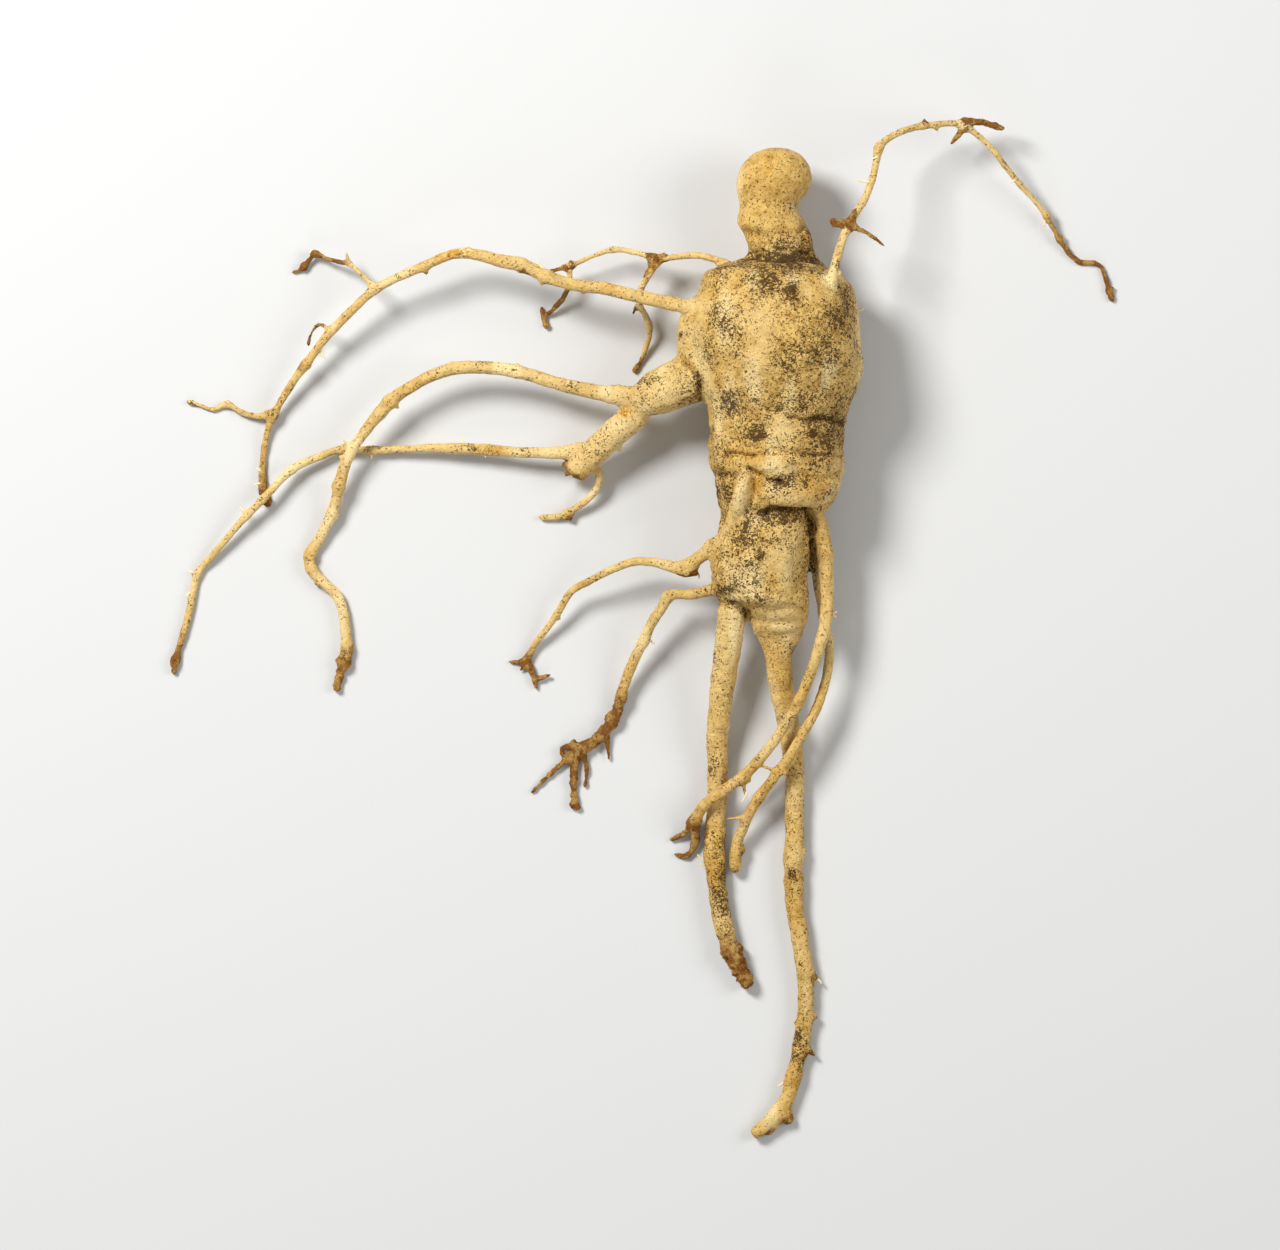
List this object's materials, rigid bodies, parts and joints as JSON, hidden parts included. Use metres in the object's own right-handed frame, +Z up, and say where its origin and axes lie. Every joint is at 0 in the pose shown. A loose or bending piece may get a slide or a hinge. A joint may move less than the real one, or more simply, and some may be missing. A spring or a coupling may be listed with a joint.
{
  "type": "ginseng root",
  "caption": "Whole ginseng root lying flat: knobbed crown, stout body, long legs and thin branching side roots.",
  "frame": {"origin": "on the flat of the main root's underside, where it rests", "axes": "+Y along the main root towards the crown, +Z up from the surface, +X to the right"},
  "size_m": [0.2078, 0.2244, 0.0312],
  "materials": {
    "root_skin": "matt cream-yellow skin, specked with dark soil, brown at the thin tips"
  },
  "bodies": {
    "root": {"ginseng_root": "root_skin"}
  },
  "joints": []
}
